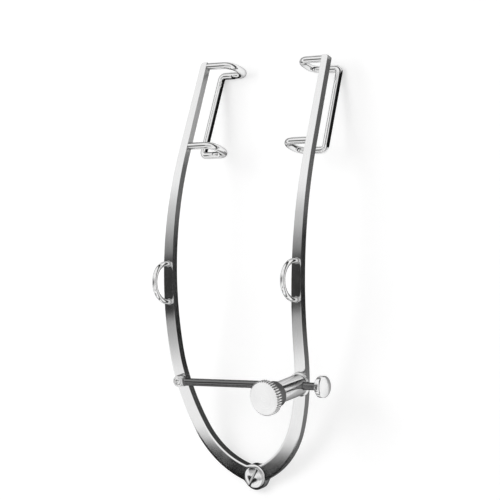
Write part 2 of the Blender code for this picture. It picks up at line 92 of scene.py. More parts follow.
# Lid blades
WIRE_RADIUS = 0.75 * MM
BLADE_BOTTOM = 72.0 * MM
BLADE_LENGTH = 18.5 * MM
BLADE_DEPTH = 5.6 * MM
BACK_INSET = 0.45 * MM
HOOK_REACH = 7.35 * MM
HOOK_BEND = 2.3 * MM
BACK_BEND = 0.9 * MM

# Finger half rings
LOOP_STATION = 42.0 * MM
LOOP_LENGTH = 9.1 * MM
LOOP_HEIGHT = 5.1 * MM
LOOP_WIRE_RADIUS = 0.55 * MM
LOOP_FOOT = 0.4 * MM

# Cross rod, its rivet and its knob
RIVET_STATION = 28.1 * MM
POST_STATION = 27.2 * MM
ROD_RADIUS = 0.8 * MM
ROD_HEIGHT = 1.45 * MM
ROD_BEYOND_POST = 7.0 * MM
ROD_EYE_RADIUS = 1.2 * MM
ROD_EYE_THICKNESS = 1.35 * MM
ROD_TONGUE_LENGTH = 2.6 * MM
ROD_CHAMFER = 0.12 * MM
TONGUE_SHARE = 0.93
TONGUE_POWER = 0.6
RIVET_RADIUS = 0.5 * MM
RIVET_HEAD_RADIUS = 0.85 * MM
RIVET_HEAD_HEIGHT = 0.4 * MM
KNOB_RADIUS = 2.3 * MM
KNOB_THICKNESS = 1.3 * MM
KNOB_DOME = 0.35 * MM
KNOB_CHAMFER = 0.2 * MM
KNOB_BORE_DEPTH = 0.8 * MM

# Clamp post and thumb screw
POST_RADIUS = 2.25 * MM
POST_HEIGHT = 8.2 * MM
POST_FOOT_RADIUS = 2.6 * MM
POST_FOOT_HEIGHT = 0.4 * MM
POST_CHAMFER = 0.25 * MM
POST_JOURNAL_RADIUS = 0.75 * MM
POST_TAIL_RADIUS = 1.25 * MM
POST_TAIL_HEIGHT = 0.4 * MM
POST_TAIL_TAPER = 0.8
SCREW_RADIUS = 1.0 * MM
COLLAR_RADIUS = 2.75 * MM
COLLAR_THICKNESS = 1.9 * MM
NECK_RADIUS = 2.1 * MM
NECK_LENGTH = 0.85 * MM
THUMB_RADIUS = 3.75 * MM
THUMB_THICKNESS = 1.6 * MM
THUMB_CHAMFER = 0.3 * MM
KNURL_COUNT = 40
KNURL_DEPTH = 0.16 * MM
KNURL_STEPS = 4

# Clearances and brazing
RUNNING_CLEARANCE = 0.08 * MM
SEAT_GAP = 0.05 * MM
BRAZE_GAP = 0.03 * MM
BRAZE_FILLET = 0.16 * MM
BRAZE_SUNK = 0.06 * MM

# Fineness of the meshes
STATION_HALVINGS = 50
EDGE_SEGMENTS = 4
SOFT_SEGMENTS = 2
TURNED_STEPS = 96
ROD_EYE_STEPS = 64
BORE_STEPS = 48
RING_STEPS = 48
TONGUE_STEPS = 10
DOME_STEPS = 10
FILLET_STEPS = 8
EYE_STEPS = 18
TIP_STEPS = 8
WIRE_STEPS = 8
BEND_STEP = math.radians(5.0)
OUTLINE_STEP = 0.5 * MM
ACROSS_STEPS = 6
MAP_STEP = 0.125 * MM
SMALL_EDGE = 0.05 * MM
SMOOTH_ANGLE = math.radians(38)
RIM_ANGLE = math.radians(50)
SCREW_EDGE_ANGLE = math.radians(40)
KNOB_EDGE_ANGLE = math.radians(30)
CUT_MARGIN = 1.0 * MM
MERGE_DISTANCE = 0.0005 * MM

# Camera: the columns of CAMERA_TURN point to its right, up and back
CAMERA_TARGET = Vector((-1.4, 4.32, 9.52)) * MM
CAMERA_TURN = Matrix((
    (0.7853, 0.02212, 0.61872),
    (0.05287, 0.99332, -0.10261),
    (-0.61686, 0.11329, 0.77888),
))
CAMERA_DIRECTION = CAMERA_TURN.col[2].copy()
CAMERA_DISTANCE = 747.5 * MM
CAMERA_LENS_MM = 254.6
CAMERA_SENSOR_MM = 36.0
CAMERA_CLIP = 50 * MM

# Table, room and lamp
FLOOR_SIZE = 6.0
PAPER_TONE = 0.6
PAPER_ROUGHNESS = 0.9
PAPER_LIFT = 0.5
ROOM_LIGHT = 0.72
KEY_PLACE = Vector((-220, 100, 320)) * MM
KEY_SIZE = 240 * MM
KEY_WATTS = 0.45

# Cards: where the steel mirrors them, how large they are, and their tones, which are pairs of
# a share of the card's height and the brightness there
PIVOT_MIRRORS = Vector((-0.62, -0.40, 0.68))
PIVOT_CARD_DISTANCE = 90 * MM
PIVOT_CARD_OFFSET = Vector((0.0, -7.0, -3.5)) * MM
PIVOT_CARD_SIZE = (60 * MM, 34 * MM)
PIVOT_CARD_LEAN = 1.0
PIVOT_CARD_TONES = ((0.0, 0.005), (0.78, 0.005), (0.9, 1.0))
LOOPS_MIRROR = Vector((-0.62, -0.05, 0.78))
LOOP_CARD_DISTANCE = 300 * MM
LOOP_CARD_OFFSET = Vector((0.0, 40.0, 0.0)) * MM
LOOP_CARD_SIZE = (260 * MM, 300 * MM)
LOOP_CARD_TONES = (
    (0.0, 1.0), (0.30, 0.45), (0.36, 0.03), (0.58, 0.03), (0.66, 0.3), (0.8, 0.6), (1.0, 1.0)
)
CEILING_MIDDLE = Vector((60, 0, 350)) * MM
CEILING_SIZE = (400 * MM, 640 * MM)
CEILING_TONES = ((0.0, 0.3), (0.22, 0.95), (0.5, 0.4), (0.75, 1.0), (1.0, 0.8))
HORIZON_RADIUS = 150 * MM
HORIZON_HEIGHT = 110 * MM
HORIZON_STEPS = 64
HORIZON_DARKEST = math.radians(35)
HORIZON_LEAN = 2.5
HORIZON_TONES = ((0.0, 0.02), (0.45, 0.02), (1.0, 1.0))

# Strips on the table that the edges of the arms mirror, and cards beside the blades' back wires
EDGE_STRIP_WIDTH = 9 * MM
EDGE_STRIP_LIFT = 0.1 * MM
STRIP_SHORT_OF_BLADE = 2.5 * MM
DARK_TONE = 0.01
DIM_TONE = 0.12
MIDDLE_TONE = 0.3
PALE_TONE = 0.55
DARK_RUN = (36 * MM, 50 * MM)
DARK_RUN_FADE = 9 * MM
CLAMP_FADE = 4 * MM
WIRE_CARD_LIFT = 0.15 * MM
WIRE_CARD_START = 0.8
WIRE_CARD_DISTANCE = 3.0 * MM
WIRE_CARD_RISE = 1.0 * MM

FACE = ARM_THICKNESS / 2
BLADE_TOP = BLADE_BOTTOM + BLADE_LENGTH
ROD_AXIS = FACE + ROD_HEIGHT

hinge = next(joint for joint in frame["joints"] if joint["name"] == "arm_pivot")
AT_REST = Matrix.Translation(hinge["pos_m"]) @ Matrix.Rotation(
    math.atan2(-hinge["axis"][1], hinge["axis"][2]), 4, "X"
)


def held(value, low=0.0, high=1.0):
    """value, held between low and high."""
    return min(max(value, low), high)


def grey(tone):
    return (tone, tone, tone, 1.0)


# Layout of an arm

def centre_line(t):
    """x, y and heading of the arm's centre line at distance t from the pivot."""
    x = 0.0
    y = 0.0
    lead = min(t, EYE_LEAD)
    x += lead * math.sin(PIVOT_HEADING)
    y += lead * math.cos(PIVOT_HEADING)
    left = t - lead
    heading = PIVOT_HEADING
    bends = (
        (KNEE_RADIUS * (PIVOT_HEADING - KNEE_HEADING), KNEE_HEADING),
        (SHOULDER_RADIUS * (KNEE_HEADING - SHOULDER_HEADING), SHOULDER_HEADING),
        (SHAFT_LENGTH, BLADE_HEADING),
    )
    for length, last_heading in bends:
        if left <= 0:
            return x, y, heading
        run = min(left, length)
        radius = length / (heading - last_heading)
        new_heading = heading - run / radius
        x += radius * (math.cos(new_heading) - math.cos(heading))
        y += radius * (math.sin(heading) - math.sin(new_heading))
        heading = new_heading
        left -= run
    return x + left * math.sin(heading), y + left * math.cos(heading), heading


def station_at(y_wanted):
    """Distance along the centre line at which it reaches y_wanted."""
    low = 0.0
    high = 2 * y_wanted
    for _ in range(STATION_HALVINGS):
        middle = (low + high) / 2
        if centre_line(middle)[1] < y_wanted:
            low = middle
        else:
            high = middle
    return (low + high) / 2


TIP_STATION = station_at(BLADE_TOP + WIRE_RADIUS)
LEFT_STRIP_END = station_at(BLADE_BOTTOM) - STRIP_SHORT_OF_BLADE


def arm_width(t):
    share = max(t, 0.0) / TIP_STATION
    return ARM_WIDTH_AT_PIVOT + (ARM_WIDTH_AT_TIP - ARM_WIDTH_AT_PIVOT) * share**ARM_TAPER_POWER


def half_width(t):
    """Half the outline's width: the round eye, eased into the tapering bar."""
    across_eye = math.sqrt(max(EYE_RADIUS**2 - t**2, 0.0))
    if t <= 0:
        return across_eye
    across_bar = arm_width(t) / 2
    blend = across_eye**EYE_BLEND_POWER + across_bar**EYE_BLEND_POWER
    return blend ** (1 / EYE_BLEND_POWER)


def corner_cut(t):
    """How far the rounded outer corner of the tip draws the outline in."""
    along = max(t - (TIP_STATION - TIP_CORNER), 0.0)
    return TIP_CORNER - math.sqrt(max(TIP_CORNER**2 - along**2, 0.0))


def bow(point):
    """A point of the flat layout, carried onto the bow of the arms."""
    x, y, z = point
    angle = held((y - FLAT_LENGTH) / BOW_RADIUS, 0.0, BOW_ANGLE)
    past = max(y - FLAT_LENGTH - BOW_RADIUS * BOW_ANGLE, 0.0)
    along = min(y, FLAT_LENGTH) + BOW_RADIUS * math.sin(angle) + past * math.cos(angle)
    drop = BOW_RADIUS * (1 - math.cos(angle)) + past * math.sin(angle)
    return Vector((x, along + z * math.sin(angle), z * math.cos(angle) - drop))


def clamp_point(side, height=0.0):
    """The middle of the rivet on the left, side -1, or of the post on the right, side 1."""
    x, y, _ = centre_line(POST_STATION if side > 0 else RIVET_STATION)
    return Vector((side * x, y, height))


ROD_RUN = clamp_point(1) - clamp_point(-1)
ROD_TURN = Matrix.Rotation(math.atan2(ROD_RUN.y, ROD_RUN.x), 4, "Z")
ALONG_X = Matrix.Rotation(math.pi / 2, 4, "Y")


# Making and finishing pieces

def mesh_of(bm, name):
    bmesh.ops.remove_doubles(bm, verts=bm.verts, dist=MERGE_DISTANCE)
    bmesh.ops.recalc_face_normals(bm, faces=bm.faces)
    mesh = bpy.data.meshes.new(name)
    bm.to_mesh(mesh)
    bm.free()
    return mesh


def taken_from(obj):
    """The mesh that obj shows with its modifiers, taken off the object."""
    bpy.context.view_layer.update()
    graph = bpy.context.evaluated_depsgraph_get()
    mesh = bpy.data.meshes.new_from_object(obj.evaluated_get(graph))
    bpy.data.objects.remove(obj, do_unlink=True)
    return mesh


def bench(name, data):
    """A new object in the scene that shows data."""
    obj = bpy.data.objects.new(name, data)
    bpy.context.scene.collection.objects.link(obj)
    return obj


def combined(mesh, others, operation="DIFFERENCE"):
    """mesh with each of the other meshes cut from it or joined to it."""
    for other in others:
        work = bench("work", mesh)
        tool = bench("tool", other)
        modifier = work.modifiers.new("combine", "BOOLEAN")
        modifier.operation = operation
        modifier.solver = "EXACT"
        modifier.object = tool
        mesh = taken_from(work)
        bpy.data.objects.remove(tool, do_unlink=True)
    return mesh


def softened(mesh, angle):
    """mesh with the edges that are sharper than angle broken by SMALL_EDGE."""
    work = bench("work", mesh)
    modifier = work.modifiers.new("soften", "BEVEL")
    modifier.width = SMALL_EDGE
    modifier.segments = SOFT_SEGMENTS
    modifier.limit_method = "ANGLE"
    modifier.angle_limit = angle
    modifier.use_clamp_overlap = True
    return taken_from(work)


def finish(name, mesh, material, body, node=None):
    """Lays a mesh of the flat layout at rest, as a piece that rides on a body."""
    mesh.transform(AT_REST)
    mesh.name = name
    mesh.materials.clear()
    mesh.materials.append(material)
    mesh.shade_smooth()
    mesh.set_sharp_from_angle(angle=SMOOTH_ANGLE)
    piece = bench(name, mesh)
    weighted = piece.modifiers.new("even normals", "WEIGHTED_NORMAL")
    weighted.keep_sharp = True
    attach(piece, body)
    if node:
        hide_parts(node)


def bowed(mesh):
    """mesh, moved onto the bow of the arms."""
    for vert in mesh.vertices:
        vert.co = bow(vert.co)
    return mesh


def round_bar(radius, length, middle, turn, steps):
    bm = bmesh.new()
    bmesh.ops.create_cone(
        bm,
        cap_ends=True,
        segments=steps,
        radius1=radius,
        radius2=radius,
        depth=length,
        matrix=Matrix.Translation(middle) @ turn,
    )
    return bm


def cylinder(radius, length, middle, turn=Matrix(), steps=TURNED_STEPS):
    return mesh_of(round_bar(radius, length, middle, turn, steps), "cylinder")


def block(size, middle, turn=Matrix()):
    bm = bmesh.new()
    matrix = Matrix.Translation(middle) @ turn @ Matrix.Diagonal((*size, 1.0))
    bmesh.ops.create_cube(bm, size=1.0, matrix=matrix)
    return mesh_of(bm, "block")


def dome(radius, foot_height, rise):
    """Profile points of a shallow dome, from its crown to its rim."""
    ball_radius = (radius**2 + rise**2) / (2 * rise)
    edge = math.asin(radius / ball_radius)
    points = []
    for i in range(DOME_STEPS + 1):
        angle = edge * i / DOME_STEPS
        height = foot_height + rise - ball_radius * (1 - math.cos(angle))
        points.append((ball_radius * math.sin(angle), height))
    return points


def turned(profile, steps=TURNED_STEPS):
    """A turned blank: profile holds (radius, height) pairs from the top of the axis down."""
    bm = bmesh.new()
    verts = [bm.verts.new((radius, 0.0, height)) for radius, height in profile]
    edges = [bm.edges.new(pair) for pair in zip(verts, verts[1:])]
    bmesh.ops.spin(
        bm,
        geom=verts + edges,
        axis=(0, 0, 1),
        cent=(0, 0, 0),
        steps=steps,
        angle=2 * math.pi,
        use_merge=True,
    )
    return bm


def moved(mesh, place, turn=Matrix()):
    """mesh, turned about its origin and then moved to place."""
    mesh.transform(Matrix.Translation(place) @ turn)
    return mesh


def rounded_path(corners, radii):
    """Points along straight runs through corners, each corner turned with its own radius."""
    points = [corners[0]]
    for before, corner, after, radius in zip(corners, corners[1:], corners[2:], radii):
        back = (before - corner).normalized()
        ahead = (after - corner).normalized()
        half = back.angle(ahead) / 2
        setback = radius / math.tan(half)
        centre = corner + (back + ahead).normalized() * (radius / math.sin(half))
        first = corner + back * setback - centre
        last = corner + ahead * setback - centre
        turn = first.angle(last)
        count = max(2, math.ceil(turn / BEND_STEP))
        for i in range(count + 1):
            share = i / count
            weight_first = math.sin((1 - share) * turn) / math.sin(turn)
            weight_last = math.sin(share * turn) / math.sin(turn)
            points.append(centre + first * weight_first + last * weight_last)
    points.append(corners[-1])
    return points


def wire(points, radius):
    """A round wire along points of the flat layout, bowed with the arms."""
    curve = bpy.data.curves.new("wire", "CURVE")
    curve.dimensions = "3D"
    curve.bevel_depth = radius
    curve.bevel_resolution = WIRE_STEPS
    curve.use_fill_caps = True
    spline = curve.splines.new("POLY")
    spline.points.add(len(points) - 1)
    for spline_point, point in zip(spline.points, points):
        spline_point.co = (*bow(point), 1.0)
    mesh = taken_from(bench("wire", curve))
    bm = bmesh.new()
    bm.from_mesh(mesh)
    return mesh_of(bm, "wire")


# Steel finishes

EDGE_TINT = 0.25
RECESS_ROUGHNESS = 0.38

# Noise: the range in which its values mostly lie, its scales, and the depth of its relief
NOISE_RANGE = (0.3, 0.7)
NOISE_DETAIL = 3.0
SMEAR_SCALE = 260.0
SPECK_SCALE = 2600.0
POLISH_LINES = (350.0, 16000.0, 1.0)
POLISH_DEPTH = 0.0001 * MM
DIE_LINES = (300.0, 15000.0, 15000.0)
DIE_DEPTH = 0.0008 * MM
TOOL_MARK_SCALE = 5200.0
TOOL_MARK_DETAIL = 2.0

# How far the noise takes a tone or a roughness below and above its middle, as shares of it
POLISH_SPREAD = (0.96, 1.03)
GROUND_SHADE_SPREAD = (0.85, 1.1)
SPECK_SPREAD = (0.97, 1.03)
DIE_SPREAD = (0.85, 1.12)
TOOL_MARK_SPREAD = (0.95, 1.03)
RECESS_SHADE_SPREAD = (0.9, 1.1)
SMEAR_SPREAD = (0.8, 1.3)
GROUND_SMEAR_SPREAD = (0.9, 1.1)
DRAWN_SMEAR_SPREAD = (0.8, 1.25)


class Finish:
    """A steel's node tree, with short ways to add nodes and to join them."""

    def __init__(self, name):
        self.material = bpy.data.materials.new(name)
        self.material.use_nodes = True
        self.nodes = self.material.node_tree.nodes
        self.links = self.material.node_tree.links
        self.shader = self.nodes["Principled BSDF"]
        self.shader.inputs["Metallic"].default_value = 1.0
        self.shader.inputs["Specular Tint"].default_value = grey(EDGE_TINT)
        self.place = self.add("ShaderNodeTexCoord").outputs["Object"]
        self.smear = self.noise(self.place, SMEAR_SCALE)

    def add(self, kind, inputs=(), **settings):
        """A new node; an input is either joined to a socket or given a value."""
        node = self.nodes.new(kind)
        for setting, value in settings.items():
            setattr(node, setting, value)
        for key, value in dict(inputs).items():
            if isinstance(value, bpy.types.NodeSocket):
                self.links.new(value, node.inputs[key])
            else:
                node.inputs[key].default_value = value
        return node

    def noise(self, where, scale):
        inputs = {"Vector": where, "Scale": scale, "Detail": NOISE_DETAIL}
        return self.add("ShaderNodeTexNoise", inputs).outputs["Fac"]

    def lines(self, where, scales):
        """Noise drawn out into lines by its own scale along each axis."""
        drawn = self.add("ShaderNodeMapping", {"Vector": where, "Scale": scales})
        return self.noise(drawn.outputs["Vector"], 1.0)

    def about(self, noise, middle, spread):
        """noise, brought from its usual range to the spread about middle."""
        inputs = {
            "Value": noise,
            "From Min": NOISE_RANGE[0],
            "From Max": NOISE_RANGE[1],
            "To Min": middle * spread[0],
            "To Max": middle * spread[1],
        }
        return self.add("ShaderNodeMapRange", inputs).outputs["Result"]

    def by_mark(self, attribute, unmarked, marked):
        """A mix of two values by an attribute of the mesh, which runs from 0 to 1."""
        mark = self.add("ShaderNodeAttribute", attribute_name=attribute).outputs["Fac"]
        return self.add("ShaderNodeMix", {0: mark, 2: unmarked, 3: marked}).outputs[0]

    def polish(self, tone, roughness, relief, depth):
        """Joins tone, roughness and relief to the shader, and gives the material."""
        inputs = {"Red": tone, "Green": tone, "Blue": tone}
        colour = self.add("ShaderNodeCombineColor", inputs).outputs["Color"]
        self.links.new(colour, self.shader.inputs["Base Color"])
        self.links.new(roughness, self.shader.inputs["Roughness"])
        bump = self.add("ShaderNodeBump", {"Height": relief, "Strength": 1.0, "Distance": depth})
        self.links.new(bump.outputs["Normal"], self.shader.inputs["Normal"])
        return self.material


def bar_steel(name, tone, roughness, shaded_edge_tone, edge_roughness):
    """Bar polished along its length, whose edges, marked by an attribute, are rougher from satin
    grinding and toned much darker as painted shade.
    """
    steel = Finish(name)
    along = steel.add("ShaderNodeUVMap", uv_map="along_bar").outputs["UV"]
    lines = steel.lines(along, POLISH_LINES)
    face_tone = steel.about(lines, tone, POLISH_SPREAD)
    shaded_side_tone = steel.about(lines, shaded_edge_tone, GROUND_SHADE_SPREAD)
    face_gloss = steel.about(steel.smear, roughness, SMEAR_SPREAD)
    side_gloss = steel.about(steel.smear, edge_roughness, GROUND_SMEAR_SPREAD)
    # Painted shade: the marked edges and sides take the much darker edge tone.
    tones = steel.by_mark("ground_and_shade", face_tone, shaded_side_tone)
    glosses = steel.by_mark("ground_and_shade", face_gloss, side_gloss)
    return steel.polish(tones, glosses, lines, POLISH_DEPTH)


def wire_steel(name, tone, roughness, speck_depth):
    """Wire or braze with a buffed surface: soft smears and tiny buffing specks."""
    steel = Finish(name)
    specks = steel.noise(steel.place, SPECK_SCALE)
    tones = steel.about(specks, tone, SPECK_SPREAD)
    gloss = steel.about(steel.smear, roughness, SMEAR_SPREAD)
    return steel.polish(tones, gloss, specks, speck_depth)


def rod_steel(name, tone, roughness, eye_tone):
    """Rod with long fine lines from the die; its round part is toned dark as painted shade, and
    its forged eye keeps the bright steel tone.
    """
    steel = Finish(name)
    lines = steel.lines(steel.place, DIE_LINES)
    # Painted shade: the round part of the rod takes the dark tone, the forged eye the bright one.
    tones = steel.by_mark("drawn", eye_tone, steel.about(lines, tone, DIE_SPREAD))
    gloss = steel.about(steel.smear, roughness, DRAWN_SMEAR_SPREAD)
    return steel.polish(tones, gloss, lines, DIE_DEPTH)


def turned_steel(name, lathe, tone, roughness, mark_depth, recess_shade_tone=None):
    """Steel from the lathe, whose fine tool marks run round the Z axis of the place lathe.

    With a recess_shade_tone, the parts that an attribute marks are left dull, and get that darker
    tone as painted shade.
    """
    steel = Finish(name)
    to_lathe = (AT_REST @ lathe).inverted()
    inputs = {
        "Vector": steel.place,
        "Location": to_lathe.to_translation(),
        "Rotation": to_lathe.to_euler("XYZ"),
    }
    on_lathe = steel.add("ShaderNodeMapping", inputs).outputs["Vector"]
    parts = steel.add("ShaderNodeSeparateXYZ", {"Vector": on_lathe}).outputs
    across = steel.add("ShaderNodeCombineXYZ", {"X": parts["X"], "Y": parts["Y"]})
    radius = steel.add("ShaderNodeVectorMath", {0: across.outputs["Vector"]}, operation="LENGTH")
    feed = steel.add("ShaderNodeMath", {0: radius.outputs["Value"], 1: parts["Z"]})
    inputs = {"W": feed.outputs["Value"], "Scale": TOOL_MARK_SCALE, "Detail": TOOL_MARK_DETAIL}
    marks = steel.add("ShaderNodeTexNoise", inputs, noise_dimensions="1D").outputs["Fac"]
    tones = steel.about(marks, tone, TOOL_MARK_SPREAD)
    gloss = steel.about(steel.smear, roughness, SMEAR_SPREAD)
    if recess_shade_tone:
        # Painted shade: the marked knurl grooves, neck, collar and shank take the much darker
        # tone.
        tones = steel.by_mark("dull_shaded_recess", tones, steel.about(marks, recess_shade_tone, RECESS_SHADE_SPREAD))
        gloss = steel.by_mark("dull_shaded_recess", gloss, RECESS_ROUGHNESS)
    return steel.polish(tones, gloss, marks, mark_depth)


PIVOT_PLACE = Matrix()
RIVET_PLACE = Matrix.Translation(clamp_point(-1))
POST_PLACE = Matrix.Translation(clamp_point(1))
KNOB_PLACE = Matrix.Translation(clamp_point(1, ROD_AXIS)) @ ROD_TURN @ ALONG_X

# The edge tone is painted shade, darkening the bar's sides as if they were in shade.
BAR_STEEL = bar_steel(
    "polished_bar_steel", tone=0.84, roughness=0.12, shaded_edge_tone=0.36, edge_roughness=0.22
)
WIRE_STEEL = wire_steel(
    "polished_wire_steel", tone=0.84, roughness=0.10, speck_depth=0.0002 * MM
)
BRAZE_STEEL = wire_steel(
    "brazed_joint_steel", tone=0.42, roughness=0.30, speck_depth=0.002 * MM
)
# The rod's dark tone is painted shade.
ROD_SHADED_STEEL = rod_steel("drawn_rod_steel", tone=0.2, roughness=0.24, eye_tone=0.82)
PIVOT_STEEL = turned_steel(
    "pivot_screw_steel", PIVOT_PLACE, tone=0.84, roughness=0.14, mark_depth=0.0006 * MM
)
RIVET_STEEL = turned_steel(
    "rivet_steel", RIVET_PLACE, tone=0.78, roughness=0.18, mark_depth=0.0004 * MM
)
POST_STEEL = turned_steel(
    "turned_post_steel", POST_PLACE, tone=0.84, roughness=0.13, mark_depth=0.0006 * MM
)
# The thumb screw's dark tone is painted shade on its knurl grooves, neck and collar.
THUMB_STEEL = turned_steel(
    "thumb_screw_steel", POST_PLACE, tone=0.93, roughness=0.2, mark_depth=0.001 * MM,
    recess_shade_tone=0.16,
)
KNOB_STEEL = turned_steel(
    "knob_steel", KNOB_PLACE, tone=0.88, roughness=0.15, mark_depth=0.0006 * MM
)


# Arms

def arm_stations():
    """Distances along the centre line at which the outline is set out."""
    quarter = math.pi / 2
    stations = [-EYE_RADIUS * math.cos(quarter * i / EYE_STEPS) for i in range(EYE_STEPS + 1)]
    first = stations[-1]
    last = TIP_STATION - TIP_CORNER
    count = math.ceil((last - first) / OUTLINE_STEP)
    stations += [first + (last - first) * (i + 1) / count for i in range(count)]
    for i in range(TIP_STEPS):
        stations.append(last + TIP_CORNER * math.sin(quarter * (i + 1) / TIP_STEPS))
    return stations


def arm_strip(side):
    """The bar laid flat, with its long edges rounded."""
    stations = arm_stations()
    columns = len(stations) - 1
    bm = bmesh.new()
    bmesh.ops.create_grid(bm, x_segments=columns, y_segments=ACROSS_STEPS, size=1.0)
    for vert in bm.verts:
        t = stations[round((vert.co.x + 1) / 2 * columns)]
        across = vert.co.y
        x, y, heading = centre_line(max(t, 0.0))
        x += min(t, 0.0) * math.sin(heading)
        y += min(t, 0.0) * math.cos(heading)
        inner = half_width(t)
        outer = corner_cut(t) - inner
        reach = outer + (inner - outer) * (1 + across) / 2
        x -= reach * math.cos(heading)
        y += reach * math.sin(heading)
        vert.co = Vector((side * x, y, -FACE))
    bmesh.ops.remove_doubles(bm, verts=bm.verts, dist=MERGE_DISTANCE)
    grown = bmesh.ops.extrude_face_region(bm, geom=bm.faces[:], use_keep_orig=True)["geom"]
    raised = [part for part in grown if isinstance(part, bmesh.types.BMVert)]
    bmesh.ops.translate(bm, verts=raised, vec=(0, 0, ARM_THICKNESS))
    bmesh.ops.recalc_face_normals(bm, faces=bm.faces)
    rim = [edge for edge in bm.edges if edge.calc_face_angle(0) > RIM_ANGLE]
    bmesh.ops.bevel(
        bm,
        geom=rim,
        offset=ARM_EDGE_ROUND,
        offset_type="OFFSET",
        segments=EDGE_SEGMENTS,
        profile=0.5,
        affect="EDGES",
        clamp_overlap=True,
        material=-1,
    )
    return mesh_of(bm, "arm")


def mark_finish(mesh, side):
    """Gives the flat bar the map its polish follows, and marks its edges for a rougher finish and
    painted shade.
    """
    count = int(TIP_STATION / MAP_STEP) + 1
    tree = KDTree(count)
    for i in range(count):
        x, y, _ = centre_line(i * MAP_STEP)
        tree.insert((side * x, y, 0.0), i)
    tree.balance()
    mesh.uv_layers.new(name="along_bar")
    mesh.attributes.new("ground_and_shade", "FLOAT", "CORNER")
    along_bar = mesh.uv_layers["along_bar"]
    ground_and_shade = mesh.attributes["ground_and_shade"]
    for face in mesh.polygons:
        # Painted shade mask: the steeper a face, the more it is marked, so sides and edge rounds
        # come out darker.
        flatness = held((abs(face.normal.z) - GROUND_SHADE_BELOW) / GROUND_SHADE_FADE)
        for loop in face.loop_indices:
            place = mesh.vertices[mesh.loops[loop].vertex_index].co
            _, nearest, across = tree.find((place.x, place.y, 0.0))
            along_bar.data[loop].uv = (nearest * MAP_STEP, across + place.z)
            ground_and_shade.data[loop].value = 1 - flatness


def make_arm(name, side):
    """A bowed arm, whose eye is cut to half: the left eye laps over the right one."""
    depth = FACE + LAP_GAP / 2 + CUT_MARGIN
    lap_middle = Vector((0, 0, side * (depth / 2 - LAP_GAP / 2)))
    lap = cylinder(EYE_RADIUS + LAP_CLEARANCE, depth, lap_middle)
    through = 2 * CUT_MARGIN + ARM_THICKNESS
    pivot_hole = cylinder(PIVOT_SHANK_RADIUS + RUNNING_CLEARANCE, through, Vector((0, 0, 0)))
    shank = RIVET_RADIUS if side < 0 else POST_JOURNAL_RADIUS
    clamp_hole = cylinder(
        shank + RUNNING_CLEARANCE, through, clamp_point(side), steps=BORE_STEPS
    )
    mesh = combined(arm_strip(side), [lap, pivot_hole, clamp_hole])
    mark_finish(mesh, side)
    finish(f"{name}_polished", bowed(mesh), BAR_STEEL, name, name)


# Lid blades

def make_blade_wire(name, side, body):
    """The bent wire of one blade, from the top of the bar round both hooks to its bottom."""

    def corner(y, inwards, z):
        return Vector((side * (centre_line(station_at(y))[0] - inwards), y, z))

    top_side = arm_width(TIP_STATION) / 2
    bottom_side = arm_width(station_at(BLADE_BOTTOM)) / 2
    corners = [
        corner(BLADE_TOP, top_side + BRAZE_GAP, 0.0),
        corner(BLADE_TOP, HOOK_REACH, 0.0),
        corner(BLADE_TOP, HOOK_REACH, -BLADE_DEPTH),
        corner(BLADE_TOP, BACK_INSET, -BLADE_DEPTH),
        corner(BLADE_BOTTOM, BACK_INSET, -BLADE_DEPTH),
        corner(BLADE_BOTTOM, HOOK_REACH, -BLADE_DEPTH),
        corner(BLADE_BOTTOM, HOOK_REACH, 0.0),
        corner(BLADE_BOTTOM, bottom_side + BRAZE_GAP, 0.0),
    ]
    radii = (HOOK_BEND, HOOK_BEND, BACK_BEND, BACK_BEND, HOOK_BEND, HOOK_BEND)
    mesh = wire(rounded_path(corners, radii), WIRE_RADIUS)
    finish(f"{name}_bent", mesh, WIRE_STEEL, body, name)
    inwards = Matrix.Rotation(-side * math.pi / 2, 4, "Y")
    flush = ARM_EDGE_ROUND / 2
    for end, y, at_side in (("top", BLADE_TOP, top_side), ("bottom", BLADE_BOTTOM, bottom_side)):
        mesh = moved(braze_ring(WIRE_RADIUS), corner(y, at_side, 0.0), inwards)
        for vert in mesh.vertices:
            vert.co.z = held(vert.co.z, flush - FACE, FACE - flush)
            vert.co.y = min(vert.co.y, BLADE_TOP + WIRE_RADIUS - flush)
        finish(f"{name}_{end}_braze", bowed(mesh), BRAZE_STEEL, body)


def braze_ring(radius):
    """The hollow ring of braze round a wire of that radius that stands on the XY plane."""
    profile = []
    for i in range(FILLET_STEPS + 1):
        angle = math.pi / 2 * i / FILLET_STEPS
        out = radius + BRAZE_FILLET * (1 - math.cos(angle))
        profile.append((out, BRAZE_FILLET * (1 - math.sin(angle))))
    inner = radius - BRAZE_SUNK
    profile = [
        (inner, BRAZE_FILLET),
        *profile,
        (radius + BRAZE_FILLET, -BRAZE_SUNK),
        (inner, -BRAZE_SUNK),
        (inner, BRAZE_FILLET),
    ]
    return mesh_of(turned(profile, RING_STEPS), "braze ring")


# Finger half rings

def make_finger_loop(name, side, body):
    """The half ring of wire that stands on the arm's face, with braze round both its feet."""
    middle = station_at(LOOP_STATION)
    half_length = LOOP_LENGTH / 2 - LOOP_WIRE_RADIUS
    foot = FACE + BRAZE_GAP
    spring = foot + LOOP_FOOT
    rise = FACE + LOOP_HEIGHT - LOOP_WIRE_RADIUS - spring
    outline = [(-half_length, foot)]
    for i in range(RING_STEPS + 1):
        angle = math.pi * i / RING_STEPS
        outline.append((-half_length * math.cos(angle), spring + rise * math.sin(angle)))
    outline.append((half_length, foot))
    points = []
    for along, height in outline:
        x, y, _ = centre_line(middle + along)
        points.append(Vector((side * x, y, height)))
    mesh = wire(points, LOOP_WIRE_RADIUS)
    finish(f"{name}_bent", mesh, WIRE_STEEL, body, name)
    for end, along in (("lower", -half_length), ("upper", half_length)):
        x, y, _ = centre_line(middle + along)
        mesh = moved(braze_ring(LOOP_WIRE_RADIUS), Vector((side * x, y, FACE)))
        finish(f"{name}_{end}_braze", bowed(mesh), BRAZE_STEEL, body)


# Pivot screw

